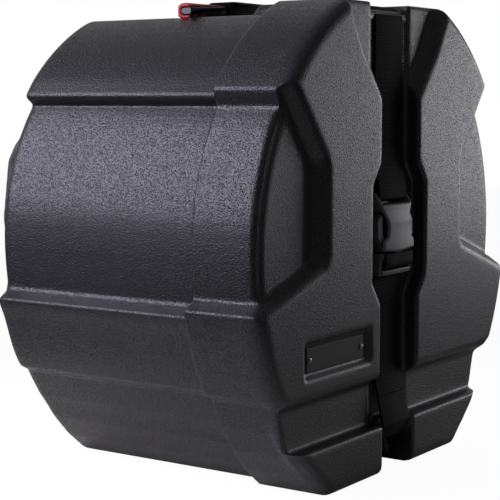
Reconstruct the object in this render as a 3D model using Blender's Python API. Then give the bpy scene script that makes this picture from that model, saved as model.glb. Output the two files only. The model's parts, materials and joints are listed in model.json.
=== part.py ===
"""A two-part moulded carrying case for a 14 inch drum, held shut by one webbing strap.

The drum's axis lies along Y. The lid is the front half, towards -Y, and slips over the rim of
the rear shell. Z is up, the origin is on the floor under the middle of the case, and lengths
are in metres.
"""
import math

import bmesh
import bpy
from mathutils import Matrix, Vector

# Fits
CLEARANCE = 0.0003      # between pieces that touch
RUNNING_GAP = 0.0008    # between pieces that slide on each other
OVERRUN = 0.006         # of a cutter past the surface that it opens

# Whole case
CASE_DEPTH = 0.306      # from the lid's raised face to the rear stacking blocks
CAVITY_RADIUS = 0.1962  # of the round inside that holds the drum
RIM_WALL = 0.0045       # of the rim that the lid slips over
RIM_REACH = 0.0190      # of the rim in front of the seam
FLOOR_WALL = 0.0095     # of the lid, between its inside and the floor
RIM_RADIUS = CAVITY_RADIUS + RIM_WALL
LID_CAVITY_RADIUS = RIM_RADIUS + RUNNING_GAP
AXIS_HEIGHT = LID_CAVITY_RADIUS + FLOOR_WALL
FACE_Y = -CASE_DEPTH / 2
BACK_Y = CASE_DEPTH / 2

# Outline that both shells share, measured from the drum's axis
PANEL_RISE = 0.120      # up to the top of the recessed side panel
UPPER_STEP = 0.0135     # height of the sloping step above the panel
PANEL_DROP = 0.0360     # down to the foot of the panel
LOWER_STEP = 0.0080     # height of the sloping step below the panel
BAND_FOOT = 0.0930      # height of the raised band's lower edge above the floor
LEDGE = 0.0095          # ledge under the band, inwards
LEDGE_FALL = 0.0045     # and down
SKIRT_BULGE = 0.0078    # of the curved skirt between the ledge and the floor
ARC_STEP = math.radians(3.0)
SKIRT_STEPS = 4
EDGE_STEPS = 3
HANDLE_STEPS = 5

# Lid, whose walls are measured from the round inside
LID_DEPTH = 0.0766      # from its raised face to the seam
LID_UPPER_WALL = 0.0260
LID_PANEL_WALL = 0.0132
LID_LOWER_WALL = 0.0280
LID_TOP_WALL = 0.0090   # under the flat top
LID_FOOT_HALF = 0.1158  # half width of the flat underside
LID_EDGE_ROUND = 0.009
LID_WALL = 0.0065       # between the strap's channel and the inside

# Relief on the lid's face
RELIEF_DEPTH = 0.0124
RELIEF_DRAFT = 0.0085   # run of the sloping walls
RELIEF_CHAMFER = 0.0025
FOOT_HEIGHT = 0.051     # top of the two feet
TOE_GAP = 0.0405        # between the feet and the two raised blocks
RECESS_SHARES = ((0.945, 0.835), (0.558, 0.345), (0.540, 0.300), (0.540, -0.026),
                 (0.560, -0.062), (1.152, -0.259))
CROWN_SHARES = ((0.080, 0.474), (0.145, 0.554), (0.295, 0.738), (0.382, 0.879),
                (0.464, 1.030), (0.080, 1.030))
RECESS_EDGE_ROUND = 0.0095
RECESS_TOP_SHARE = 0.545        # heights where the recess meets the side, of the lid's radius
RECESS_BOTTOM_SHARE = -0.155

# Strap and its channel
STRAP_WIDTH = 0.050
STRAP_THICKNESS = 0.0020
TAIL_LENGTH = 0.018     # of the sewn end behind the buckle's bar
LEAN_START = 0.004      # above the buckle, where the strap leaves its bar
LEAN_END = 0.046        # and where it lies in the channel again
LEAN_RADIUS = 0.020
NEARLY_SHARE = 0.98     # of a half turn, so that two rounded corners don't touch
CHANNEL_HALF = 0.034
CHANNEL_DEPTH = 0.0155
CHANNEL_CORNER = 0.013
CROWN_CHANNEL_DEPTH = 0.0042
FLOOR_CHANNEL_DEPTH = 0.0045
FEET_GAP_HALF = 0.0285
PLUG_STRAP_REACH = 0.0014       # of the webbing in front of the plug's middle
BACK_CHANNEL_DEPTH = 0.0010
BACK_CORNER = 0.0070
BACK_FOOT_CORNER = 0.0100
REAR_RUN = 0.0285       # of the top run's flat stretch behind the handle
LOWER_SPLIT = 0.0700    # height where the lower run parts
BULGE_TOP = 0.098       # height where the strap starts to lean out over the feet
BULGE_RADIUS = 0.040
BULGE_LIP = 0.0440      # height of the lip that it turns under
LIP_REACH = 0.0042      # depth of the channel's floor at the lip
LIP_UNDERSIDE = 0.0315  # height of the ceiling between the feet
LIP_RADIUS = 0.0045
LIP_RUN = 0.0045        # of the slope from the lip to the ceiling
ARCH_RADIUS = 0.0030
ARCH_DEPTH = 0.0310     # depth of the space between the feet
ARCH_WALL = 0.0060

# Buckle and its bay in the channel
BAY_HALF = 0.0486
BAY_ROOM = 0.0040       # under the plug
BAY_HEADROOM = 0.0070   # over the socket
BAY_TAPER = 0.020
BUCKLE_FRONT = 0.0010   # behind the lid's raised face
BUCKLE_THICKNESS = 0.0140
BUCKLE_WALL = 0.0026
BUCKLE_HALF = 0.0373
BUCKLE_DROP = 0.0110    # of the line where its two halves meet under the axis
SOCKET_HEIGHT = 0.0540
SOCKET_SHARES = ((0.780, 1.000), (0.790, 0.870), (0.745, 0.765), (0.600, 0.620), (0.515, 0.480),
                 (0.505, 0.400), (0.560, 0.270), (0.740, 0.210), (0.760, 0.045), (0.000, 0.000))
TUNNEL_HEIGHT = 0.0365
TUNNEL_HALF = 0.0330
BAR_HEIGHT = 0.0042
BAR_DEPTH = 0.0036
SLOT_HEIGHT = 0.0062
PLUG_HALF = 0.0290
PLUG_HEIGHT = 0.0200
PLUG_DEPTH = 0.0104
PLUG_RAIL = 0.0036
PLUG_BAR = 0.0045
TONGUE_HALF = 0.0050
PRONG_SHARES = ((0.660, 0.030), (0.680, 0.240), (0.850, 0.370), (0.865, 0.780), (0.740, 0.930),
                (0.600, 0.930), (0.660, 0.700), (0.640, 0.450), (0.520, 0.240), (0.500, 0.030))
BUCKLE_TRAVEL = 0.0310

# Label plate, bare
PLATE_LEFT = 0.155      # from the case's middle
PLATE_WIDTH = 0.094
PLATE_HEIGHT = 0.0215
PLATE_RISE = 0.0205     # above the block's lower edge
PLATE_THICKNESS = 0.0018
PLATE_MARGIN = 0.0045   # of its pocket round it
PLATE_SINK = 0.0045     # depth of the pocket
PLATE_POCKET_TAIL = 0.005
PLATE_RIVET_INSET = 0.0050
RIVET_RADIUS = 0.0012
RIVET_HEAD_RADIUS = 0.0024
RIVET_HEAD_HEIGHT = 0.0009
RIVET_GRIP = 0.0040

# Rear shell, whose walls are measured from the round inside
REAR_UPPER_WALL = 0.0203
REAR_PANEL_WALL = 0.0063
REAR_LOWER_WALL = 0.0203
REAR_TOP_WALL = 0.0033  # under the flat top
REAR_FOOT_HALF = 0.0990
REAR_EDGE_ROUND = 0.009
REAR_WALL = 0.0065
BOSS_HEIGHT = 0.0115    # of the stacking blocks that fit a lid's recesses
BOSS_DRAFT = 0.0075
BOSS_PLAY = 0.0020
BOSS_SHARES = ((0.868, 0.338), (0.800, 0.445), (0.700, 0.400), (0.600, 0.270), (0.600, -0.010),
               (0.885, -0.120), (0.903, 0.090))
TOE_SHARES = ((0.170, -0.590), (0.760, -0.590), (0.640, -0.735), (0.170, -0.735))
CREST_SHARES = ((0.170, 0.590), (0.360, 0.840), (0.330, 0.905), (0.170, 0.905))

# Land in front of the handle
LAND_HALF = 0.058
LAND_GAP = 0.0509       # between the land and the handle
LAND_SLOPE = 0.005
LAND_SETBACK = 0.001

# Foam lining
FOAM_PAD = 0.0120
FOAM_RING = 0.0100
FOAM_GAP = 0.0010       # glue line between pads and rings

# Handle
HANDLE_SHIFT = 0.0069   # in front of the middle of the rear shell's top
HANDLE_TAIL = 0.0135    # of the grip past each stud
HANDLE_WIDTH = 0.0156
HANDLE_HEIGHT = 0.0134  # of its top above the rear shell
HANDLE_SADDLE = 0.0003  # drop of its top under the strap
HANDLE_ARCH = 0.0048    # finger gap under its middle
HANDLE_END_DROP = 0.0020  # of its ends into their seats
HANDLE_ROUND = 0.0074
HANDLE_END_ROUND = 0.0025
HANDLE_STATION_SHARES = ((0.326, 1.0, 1.0), (0.420, 0.6, 1.0), (0.600, 0.2, 1.0),
                         (0.690, 0.0, 0.0), (0.900, 0.0, 0.0))  # of half length, saddle, arch
RAIL_LIFT = 0.0091      # of its top above the rear shell
RAIL_HEIGHT = 0.0072
RAIL_RISE = 0.0030      # towards its middle
RAIL_SHARES = ((0.323, 1.00), (0.574, 0.71), (0.800, 0.33))
RAIL_INSET = 0.0045     # of the rear rail's ends from the grip's
RAIL_DEPTH = 0.0026      # of the rear rail
RAIL_PROUD = 0.0008
WRAP_THICKNESS = 0.0012
WRAP_WIDTH = 0.0530
RISE_RADIUS = 0.0250    # of the strap's bends in front of the handle
OVER_RADIUS = 0.0080    # and behind it
STUD_RADIUS = 0.0032
STUD_GRIP = 0.0070      # length that is held in the grip
STUD_HEAD_RADIUS = 0.0065
STUD_HEAD_HEIGHT = 0.0025
STUD_LENGTH = 0.0145
HANDLE_LIFT = 0.0080

# Clamp that holds the strap to the back
CLAMP_HALF = 0.0330
CLAMP_HEIGHT = 0.0200
CLAMP_DROP = 0.0110     # of its lower edge under the axis
CLAMP_THICKNESS = 0.0020
SCREW_OFFSET = 0.0292
SCREW_RADIUS = 0.0016
SCREW_HEAD_RADIUS = 0.0030
SCREW_HEAD_HEIGHT = 0.0014
SCREW_GRIP = 0.0050

ROUND_SIDES = 64
SMALL_SIDES = 16

# Worked out from the sizes above
LID_UPPER_RADIUS = LID_CAVITY_RADIUS + LID_UPPER_WALL
LID_PANEL_RADIUS = LID_CAVITY_RADIUS + LID_PANEL_WALL
LID_LOWER_RADIUS = LID_CAVITY_RADIUS + LID_LOWER_WALL
LID_FLAT_RISE = LID_CAVITY_RADIUS + LID_TOP_WALL
REAR_UPPER_RADIUS = CAVITY_RADIUS + REAR_UPPER_WALL
REAR_PANEL_RADIUS = CAVITY_RADIUS + REAR_PANEL_WALL
REAR_LOWER_RADIUS = CAVITY_RADIUS + REAR_LOWER_WALL
REAR_FLAT_RISE = CAVITY_RADIUS + REAR_TOP_WALL
LID_TOP = AXIS_HEIGHT + LID_FLAT_RISE
REAR_TOP = AXIS_HEIGHT + REAR_FLAT_RISE
BLOCK_BOTTOM = FOOT_HEIGHT + TOE_GAP
PLATE_BOTTOM = BLOCK_BOTTOM + PLATE_RISE
BUCKLE_JOINT = AXIS_HEIGHT - BUCKLE_DROP
BUCKLE_TOP = BUCKLE_JOINT + SOCKET_HEIGHT
PLUG_BOTTOM = BUCKLE_JOINT - PLUG_HEIGHT
BAY_BOTTOM = PLUG_BOTTOM - BAY_ROOM
BAY_TOP = BUCKLE_TOP + BAY_HEADROOM
CLAMP_BOTTOM = AXIS_HEIGHT - CLAMP_DROP
STUD_FOOT_RISE = REAR_FLAT_RISE - STUD_LENGTH
STUD_SPREAD = math.sqrt(CAVITY_RADIUS ** 2 - STUD_FOOT_RISE ** 2) + STUD_HEAD_RADIUS
HANDLE_HALF = STUD_SPREAD + HANDLE_TAIL
RAIL_HALF = HANDLE_HALF - RAIL_INSET
HANDLE_TOP = REAR_TOP + HANDLE_HEIGHT
RAIL_TOP = REAR_TOP + RAIL_LIFT
SEAM_Y = FACE_Y + LID_DEPTH
BACK_FACE_Y = BACK_Y - BOSS_HEIGHT
CHANNEL_Y = FACE_Y + CHANNEL_DEPTH
INNER_FACE_Y = CHANNEL_Y + LID_WALL
INNER_BACK_Y = BACK_FACE_Y - REAR_WALL
HANDLE_Y = (SEAM_Y + BACK_FACE_Y) / 2 - HANDLE_SHIFT
LAND_BACK_Y = HANDLE_Y - HANDLE_WIDTH / 2 - LAND_GAP
WRAP_HALF = HANDLE_WIDTH / 2 + RAIL_PROUD + CLEARANCE + WRAP_THICKNESS
OVER_REACH = WRAP_HALF + 2 * STRAP_THICKNESS
REAR_SPLIT_Y = HANDLE_Y + OVER_REACH + TAIL_LENGTH + REAR_RUN
BUCKLE_Y = FACE_Y + BUCKLE_FRONT + BUCKLE_THICKNESS / 2
STRAP_Y = CHANNEL_Y - CLEARANCE - STRAP_THICKNESS / 2
BACK_STRAP_Y = BACK_FACE_Y - BACK_CHANNEL_DEPTH + CLEARANCE + STRAP_THICKNESS / 2
CROWN_CHANNEL_Z = LID_TOP - CROWN_CHANNEL_DEPTH
CROWN_STRAP_Z = CROWN_CHANNEL_Z + CLEARANCE + STRAP_THICKNESS / 2
UNDER_STRAP_Z = FLOOR_CHANNEL_DEPTH - CLEARANCE - STRAP_THICKNESS / 2
LAND_TOP = LID_TOP


def new_material(name, colour, roughness, metallic=0.0):
    """Returns a plain material with one Principled shader."""
    material = bpy.data.materials.new(name)
    material.use_nodes = True
    shader = material.node_tree.nodes["Principled BSDF"]
    shader.inputs["Base Color"].default_value = (*colour, 1.0)
    shader.inputs["Roughness"].default_value = roughness
    shader.inputs["Metallic"].default_value = metallic
    return material


def clear_scene():
    """Removes whatever the file holds."""
    for thing in list(bpy.data.objects):
        bpy.data.objects.remove(thing, do_unlink=True)


def finish(name, bm, material):
    """Turns a closed bmesh into a named object with outward faces."""
    bmesh.ops.recalc_face_normals(bm, faces=bm.faces)
    mesh = bpy.data.meshes.new(name)
    bm.to_mesh(mesh)
    bm.free()
    mesh.shade_smooth()
    mesh.set_sharp_from_angle(angle=math.radians(30))
    thing = bpy.data.objects.new(name, mesh)
    bpy.context.collection.objects.link(thing)
    if material is not None:
        mesh.materials.append(material)
    return thing


def loft(name, rings, material=None):
    """Joins rings of equally many points into one solid, with a flat cap at each end."""
    bm = bmesh.new()
    rows = [[bm.verts.new(point) for point in ring] for ring in rings]
    for lower, upper in zip(rows, rows[1:]):
        for i in range(len(lower)):
            j = (i + 1) % len(lower)
            bm.faces.new((lower[i], lower[j], upper[j], upper[i]))
    bm.faces.new(rows[0])
    bm.faces.new(reversed(rows[-1]))
    return finish(name, bm, material)


def along_y(loops, material=None, name="cutter"):
    """Lofts (y, loop) pairs, each loop being a list of (x, z)."""
    return loft(name, [[(x, y, z) for x, z in loop] for y, loop in loops], material)


def along_x(profile, half_width, material=None, name="cutter"):
    """Extrudes a closed (y, z) profile evenly to both sides of the middle."""
    return loft(name, [[(x, y, z) for y, z in profile] for x in (-half_width, half_width)],
                material)


def cut(target, *cutters):
    """Takes cutters out of a solid."""
    combine(target, "DIFFERENCE", cutters)


def join(target, *others):
    """Adds overlapping solids to a solid."""
    combine(target, "UNION", others)


def combine(target, operation, others):
    """Applies one Boolean for each other solid and removes that solid."""
    for other in others:
        step = target.modifiers.new("step", "BOOLEAN")
        step.operation = operation
        step.solver = "EXACT"
        step.object = other
        graph = bpy.context.evaluated_depsgraph_get()
        mesh = bpy.data.meshes.new_from_object(target.evaluated_get(graph))
        target.modifiers.clear()
        target.data = mesh
        bpy.data.objects.remove(other, do_unlink=True)


def circle(radius, sides=ROUND_SIDES, centre=(0.0, AXIS_HEIGHT)):
    """Returns a round loop about a centre, the drum's axis unless one is given."""
    turn = math.tau / sides
    return [(centre[0] + radius * math.sin(i * turn), centre[1] + radius * math.cos(i * turn))
            for i in range(sides)]


def box(x_range, y_range, z_range, material=None, name="cutter"):
    """Returns a block between pairs of limits."""
    corners = [(x_range[0], z_range[0]), (x_range[1], z_range[0]),
               (x_range[1], z_range[1]), (x_range[0], z_range[1])]
    return along_y([(y, corners) for y in y_range], material, name)


def upright_rod(radius, z_range, x, y, material=None, name="cutter", sides=SMALL_SIDES):
    """Returns a vertical cylinder."""
    return loft(name, [[(px, py, z) for px, py in circle(radius, sides, (x, y))]
                       for z in z_range], material)


def flat_rod(radius, y_range, x, z, material=None, name="cutter", sides=SMALL_SIDES):
    """Returns a cylinder along Y."""
    return along_y([(y, circle(radius, sides, (x, z))) for y in y_range], material, name)


def mirrored(loop):
    """Returns a loop reflected to the other side of the case."""
    return [(-x, z) for x, z in loop]


def grown(loop, distance):
    """Moves each edge of a closed loop outwards by a distance, or inwards if it is negative."""
    area = sum(a[0] * b[1] - b[0] * a[1] for a, b in zip(loop, loop[1:] + loop[:1]))
    side = 1.0 if area > 0.0 else -1.0
    result = []
    for i, point in enumerate(loop):
        before = Vector(point) - Vector(loop[i - 1])
        after = Vector(loop[(i + 1) % len(loop)]) - Vector(point)
        first = Vector((before.y, -before.x)).normalized() * side
        second = Vector((after.y, -after.x)).normalized() * side
        middle = (first + second) / (1.0 + first.dot(second))
        result.append(tuple(Vector(point) + middle * distance))
    return result


def arc(radius, rise_from, rise_to):
    """Returns points on the +X side of a circle about the axis, between two heights above it."""
    start = math.asin(rise_from / radius)
    end = math.asin(rise_to / radius)
    steps = max(1, round(abs(end - start) / ARC_STEP))
    angles = [start + (end - start) * i / steps for i in range(steps + 1)]
    return [(radius * math.cos(a), AXIS_HEIGHT + radius * math.sin(a)) for a in angles]


def shell_outline(upper, panel, lower, flat_rise, foot_half):
    """Returns the closed outline of a shell, as seen from the front."""
    ridge = -(PANEL_DROP + LOWER_STEP)
    half = arc(upper, flat_rise, PANEL_RISE + UPPER_STEP)
    half += arc(panel, PANEL_RISE, -PANEL_DROP)
    half += arc(lower, ridge, BAND_FOOT - AXIS_HEIGHT)
    start = Vector((half[-1][0] - LEDGE, half[-1][1] - LEDGE_FALL))
    end = Vector((foot_half, 0.0))
    chord = end - start
    outwards = Vector((-chord.y, chord.x)).normalized()
    for i in range(SKIRT_STEPS + 1):
        t = i / SKIRT_STEPS
        half.append(tuple(start + chord * t + outwards * SKIRT_BULGE * 4.0 * t * (1.0 - t)))
    half[-1] = (foot_half, 0.0)
    return half + mirrored(reversed(half))


def rounded_rows(outline, y_edge, y_far, radius):
    """Returns lofting rows from a rounded edge at one end to a plain one at the other."""
    side = 1.0 if y_far > y_edge else -1.0
    rows = []
    for i in range(EDGE_STEPS + 1):
        angle = math.pi / 2 * i / EDGE_STEPS
        inset = radius * (1.0 - math.sin(angle))
        depth = radius * (1.0 - math.cos(angle))
        rows.append((y_edge + side * depth, grown(outline, -inset)))
    return rows + [(y_far, outline)]


def from_shares(shares, radius):
    """Returns a loop from shares of a radius about the axis."""
    return [(x * radius, AXIS_HEIGHT + z * radius) for x, z in shares]


def relief_cutter(loop):
    """Returns a cutter for a face recess with sloping walls and chamfered upper edges."""
    slope = RELIEF_DRAFT / RELIEF_DEPTH
    return along_y([(FACE_Y - OVERRUN, grown(loop, RELIEF_CHAMFER + OVERRUN)),
                    (FACE_Y, grown(loop, RELIEF_CHAMFER)),
                    (FACE_Y + RELIEF_CHAMFER, grown(loop, -RELIEF_CHAMFER * slope)),
                    (FACE_Y + RELIEF_DEPTH, grown(loop, -RELIEF_DRAFT))])


def recess_edge_cutter(side):
    """Returns a wedge that rounds the open side of the face recess over to the side panel."""
    top = math.asin(RECESS_TOP_SHARE)
    bottom = math.asin(RECESS_BOTTOM_SHARE)
    steps = round((top - bottom) / ARC_STEP)
    inner = LID_PANEL_RADIUS - RECESS_EDGE_ROUND
    floor = FACE_Y + RELIEF_DEPTH
    rings = []
    for i in range(steps + 1):
        angle = bottom + (top - bottom) * i / steps
        rings.append([(side * r * math.cos(angle), y, AXIS_HEIGHT + r * math.sin(angle))
                      for r, y in ((inner, floor),
                                   (inner - OVERRUN, floor - OVERRUN),
                                   (LID_PANEL_RADIUS + OVERRUN, floor - OVERRUN),
                                   (LID_PANEL_RADIUS + OVERRUN,
                                    floor + RECESS_EDGE_ROUND + OVERRUN))])
    return loft("cutter", rings)


def rounded_path(points, steps=6):
    """Returns a (y, z) path with each corner turned on its own radius."""
    path = [Vector(points[0][:2])]
    for i in range(1, len(points) - 1):
        corner = Vector(points[i][:2])
        radius = points[i][2]
        back = (Vector(points[i - 1][:2]) - corner).normalized()
        on = (Vector(points[i + 1][:2]) - corner).normalized()
        half = back.angle(on) / 2
        reach = radius / math.tan(half)
        centre = corner + (back + on).normalized() * radius / math.sin(half)
        start = corner + back * reach - centre
        end = corner + on * reach - centre
        turn = start.angle_signed(end)
        for k in range(steps + 1):
            angle = -turn * k / steps
            path.append(centre + Vector((start.x * math.cos(angle) - start.y * math.sin(angle),
                                         start.x * math.sin(angle) + start.y * math.cos(angle))))
    path.append(Vector(points[-1][:2]))
    return path


def shifted(path, distance):
    """Returns a path moved sideways, to its left for a positive distance."""
    result = []
    for i, point in enumerate(path):
        before = (point - path[i - 1]) if i > 0 else (path[1] - point)
        after = (path[i + 1] - point) if i + 1 < len(path) else before
        first = Vector((-before.y, before.x)).normalized()
        second = Vector((-after.y, after.x)).normalized()
        result.append(point + (first + second) / (1.0 + first.dot(second)) * distance)
    return result


def webbing(name, path, material):
    """Returns a length of strap that follows a (y, z) path along its middle layer."""
    outer = shifted(path, STRAP_THICKNESS / 2)
    inner = shifted(path, -STRAP_THICKNESS / 2)
    return along_x([tuple(p) for p in outer + inner[::-1]], STRAP_WIDTH / 2, material, name)


def front_route():
    """Returns the middle line of the strap from the buckle's socket bar over the lid's top."""
    front = BUCKLE_Y - BAR_DEPTH / 2 - CLEARANCE - STRAP_THICKNESS / 2
    back = BUCKLE_Y + BAR_DEPTH / 2 + CLEARANCE + STRAP_THICKNESS / 2
    bar = BUCKLE_TOP - BAR_HEIGHT
    turn = (back - front) / 2
    points = [(back, BUCKLE_TOP + TAIL_LENGTH), (back, bar - turn, turn * NEARLY_SHARE),
              (front, bar - turn, turn * NEARLY_SHARE), (front, BUCKLE_TOP + LEAN_START, LEAN_RADIUS),
              (STRAP_Y, BUCKLE_TOP + LEAN_END, LEAN_RADIUS),
              (STRAP_Y, CROWN_STRAP_Z, CHANNEL_CORNER), (SEAM_Y - CLEARANCE, CROWN_STRAP_Z)]
    return rounded_path(points)


def lip_points():
    """Returns the corners of the strap's middle line from over the feet to the seam."""
    lip = FACE_Y + LIP_REACH - CLEARANCE - STRAP_THICKNESS / 2
    under = LIP_UNDERSIDE - CLEARANCE - STRAP_THICKNESS / 2
    drop = FACE_Y + ARCH_DEPTH - CLEARANCE - STRAP_THICKNESS / 2
    return [(STRAP_Y, BULGE_TOP, BULGE_RADIUS), (lip, BULGE_LIP, LIP_RADIUS),
            (lip + LIP_RUN, under, LIP_RADIUS), (drop, under, ARCH_RADIUS),
            (drop, UNDER_STRAP_Z, ARCH_RADIUS)]


def channel_cutters():
    """Returns the cutters for the strap's channel down the face and under the lid."""
    to_floor = CLEARANCE + STRAP_THICKNESS / 2
    low = rounded_path([(STRAP_Y, BAY_BOTTOM)] + lip_points() + [(SEAM_Y + OVERRUN, UNDER_STRAP_Z)])
    floor = [tuple(p) for p in shifted(low, to_floor)]
    outside = [(SEAM_Y + OVERRUN, -OVERRUN), (FACE_Y - OVERRUN, -OVERRUN),
               (FACE_Y - OVERRUN, BAY_BOTTOM)]
    under = along_x(floor + outside, FEET_GAP_HALF)
    upper_floor = [p for p in floor if p[1] > FOOT_HEIGHT]
    last = upper_floor[-1]
    crown = rounded_path([(CHANNEL_Y, BAY_BOTTOM), (CHANNEL_Y, CROWN_CHANNEL_Z, CHANNEL_CORNER),
                          (SEAM_Y + OVERRUN, CROWN_CHANNEL_Z)])
    profile = [tuple(p) for p in reversed(crown)] + upper_floor[1:]
    profile += [(last[0], FOOT_HEIGHT), (FACE_Y - OVERRUN, FOOT_HEIGHT),
                (FACE_Y - OVERRUN, LID_TOP + OVERRUN), (SEAM_Y + OVERRUN, LID_TOP + OVERRUN)]
    return under, along_x(profile, CHANNEL_HALF)


def bay_cutter():
    """Returns the cutter that widens the channel round the buckle."""
    half = [(CHANNEL_HALF, BAY_TOP + BAY_TAPER), (BAY_HALF, BAY_TOP),
            (BAY_HALF, BAY_BOTTOM), (CHANNEL_HALF, BAY_BOTTOM - BAY_TAPER)]
    loop = half + mirrored(reversed(half))
    return along_y([(FACE_Y - OVERRUN, loop), (CHANNEL_Y, loop)])


def make_front_shell(material):
    """The lid: a shallow pan with raised blocks, feet, a strap channel and two recesses."""
    outline = shell_outline(LID_UPPER_RADIUS, LID_PANEL_RADIUS, LID_LOWER_RADIUS,
                            LID_FLAT_RISE, LID_FOOT_HALF)
    shell = along_y(rounded_rows(outline, FACE_Y, SEAM_Y, LID_EDGE_ROUND), material,
                    "front_shell")
    under, channel = channel_cutters()
    cut(shell, channel, bay_cutter())
    gap = (BLOCK_BOTTOM, FOOT_HEIGHT)
    wide = LID_LOWER_RADIUS + OVERRUN + RELIEF_DRAFT
    recess = from_shares(RECESS_SHARES, LID_UPPER_RADIUS)
    crown = from_shares(CROWN_SHARES, LID_UPPER_RADIUS)
    band = [(-wide, gap[0]), (wide, gap[0]), (wide, gap[1]), (-wide, gap[1])]
    for loop in (recess, mirrored(recess), crown, mirrored(crown), band):
        cut(shell, relief_cutter(loop))
    for side in (-1.0, 1.0):
        cut(shell, recess_edge_cutter(side))
    cut(shell, plate_pocket(), *plate_rivet_holes())
    cut(shell, along_y([(INNER_FACE_Y, circle(LID_CAVITY_RADIUS)),
                        (SEAM_Y + OVERRUN, circle(LID_CAVITY_RADIUS))]))
    join(shell, box((-CHANNEL_HALF, CHANNEL_HALF),
                    (CHANNEL_Y, FACE_Y + ARCH_DEPTH + ARCH_WALL),
                    (FLOOR_CHANNEL_DEPTH, LIP_UNDERSIDE + ARCH_WALL)))
    cut(shell, under)


def plate_centre():
    """Returns the (x, z) of the middle of the label plate."""
    return PLATE_WIDTH / 2 - PLATE_LEFT, PLATE_BOTTOM + PLATE_HEIGHT / 2


def plate_pocket():
    """Returns the cutter for the pocket that the label plate lies in."""
    x, z = plate_centre()
    half = PLATE_WIDTH / 2 + PLATE_MARGIN, PLATE_HEIGHT / 2 + PLATE_MARGIN
    loop = [(x - half[0], z - half[1]), (x + half[0] + PLATE_POCKET_TAIL, z - half[1]),
            (x + half[0] + PLATE_POCKET_TAIL, z + half[1]), (x - half[0], z + half[1])]
    return along_y([(FACE_Y - OVERRUN, grown(loop, OVERRUN)),
                    (FACE_Y + PLATE_SINK, grown(loop, -PLATE_MARGIN / 2))])


def plate_rivet_places():
    """Returns the (x, z) of both rivets of the label plate."""
    x, z = plate_centre()
    reach = PLATE_WIDTH / 2 - PLATE_RIVET_INSET
    return [(x - reach, z), (x + reach, z)]


def plate_rivet_holes():
    """Returns the cutters for the rivets' holes in the shell."""
    floor = FACE_Y + PLATE_SINK
    return [flat_rod(RIVET_RADIUS + CLEARANCE, (floor - OVERRUN / 2, floor + RIVET_GRIP), x, z)
            for x, z in plate_rivet_places()]


def make_label_plate(material):
    """The bare plate on the left block."""
    x, z = plate_centre()
    loop = [(x - PLATE_WIDTH / 2, z - PLATE_HEIGHT / 2), (x + PLATE_WIDTH / 2, z - PLATE_HEIGHT / 2),
            (x + PLATE_WIDTH / 2, z + PLATE_HEIGHT / 2), (x - PLATE_WIDTH / 2, z + PLATE_HEIGHT / 2)]
    back = FACE_Y + PLATE_SINK - CLEARANCE
    plate = along_y([(back - PLATE_THICKNESS, grown(loop, -PLATE_THICKNESS / 2)),
                     (back - PLATE_THICKNESS / 2, loop), (back, loop)], material, "label_plate")
    cut(plate, *[flat_rod(RIVET_RADIUS + CLEARANCE, (back - OVERRUN, back + OVERRUN), *place)
                 for place in plate_rivet_places()])


def make_label_rivets(material):
    """The two rivets that hold the label plate."""
    front = FACE_Y + PLATE_SINK - 2 * CLEARANCE - PLATE_THICKNESS
    for name, (x, z) in zip(("label_rivet_left", "label_rivet_right"), plate_rivet_places()):
        wide = circle(RIVET_HEAD_RADIUS, SMALL_SIDES, (x, z))
        thin = circle(RIVET_RADIUS, SMALL_SIDES, (x, z))
        crown = circle(RIVET_RADIUS, SMALL_SIDES, (x, z))
        along_y([(front - RIVET_HEAD_HEIGHT, crown), (front - RIVET_HEAD_HEIGHT / 2, wide),
                 (front, wide), (front, thin),
                 (FACE_Y + PLATE_SINK + RIVET_GRIP - CLEARANCE, thin)], material, name)


def make_rear_shell(material):
    """The rear half: a deep pan with a rim, stacking blocks, a land and the handle's bores."""
    outline = shell_outline(REAR_UPPER_RADIUS, REAR_PANEL_RADIUS, REAR_LOWER_RADIUS,
                            REAR_FLAT_RISE, REAR_FOOT_HALF)
    start = SEAM_Y + CLEARANCE
    rows = rounded_rows(outline, BACK_FACE_Y, start, REAR_EDGE_ROUND)
    shell = along_y(rows, material, "rear_shell")
    rim = along_y([(SEAM_Y - RIM_REACH, circle(RIM_RADIUS)),
                   (SEAM_Y + RIM_REACH, circle(RIM_RADIUS))])
    join(shell, rim, make_land(start), *stacking_blocks())
    cavity = along_y([(SEAM_Y - RIM_REACH - OVERRUN, circle(CAVITY_RADIUS)),
                      (INNER_BACK_Y, circle(CAVITY_RADIUS))])
    crown = box((-CHANNEL_HALF, CHANNEL_HALF), (SEAM_Y - OVERRUN, LAND_BACK_Y + OVERRUN),
                (CROWN_CHANNEL_Z, LAND_TOP + OVERRUN))
    cut(shell, cavity, rear_channel_cutter(), crown, *stud_bores(), *handle_seats(),
        *clamp_holes())
    return shell


def make_land(start):
    """Returns the raised land between the seam and the handle, level with the lid's top."""
    front = start + LAND_SETBACK
    low = REAR_TOP - LAND_SLOPE
    rings = []
    for z, run in ((low, LAND_SLOPE), (LAND_TOP - LAND_SLOPE, 0.0), (LAND_TOP, -LAND_SLOPE)):
        half = LAND_HALF + run
        back = LAND_BACK_Y + run / 2
        rings.append([(-half, front, z), (half, front, z), (half, back, z), (-half, back, z)])
    return loft("cutter", rings)


def stacking_blocks():
    """Returns the blocks on the back that drop into the recesses of the next case's lid."""
    blocks = []
    for shares in (BOSS_SHARES, TOE_SHARES, CREST_SHARES):
        loop = from_shares(shares, REAR_UPPER_RADIUS)
        for face in (loop, mirrored(loop)):
            blocks.append(along_y([(BACK_FACE_Y - REAR_WALL, grown(face, -BOSS_PLAY)),
                                   (BACK_FACE_Y, grown(face, -BOSS_PLAY)),
                                   (BACK_Y, grown(face, -BOSS_PLAY - BOSS_DRAFT))]))
    return blocks


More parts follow.
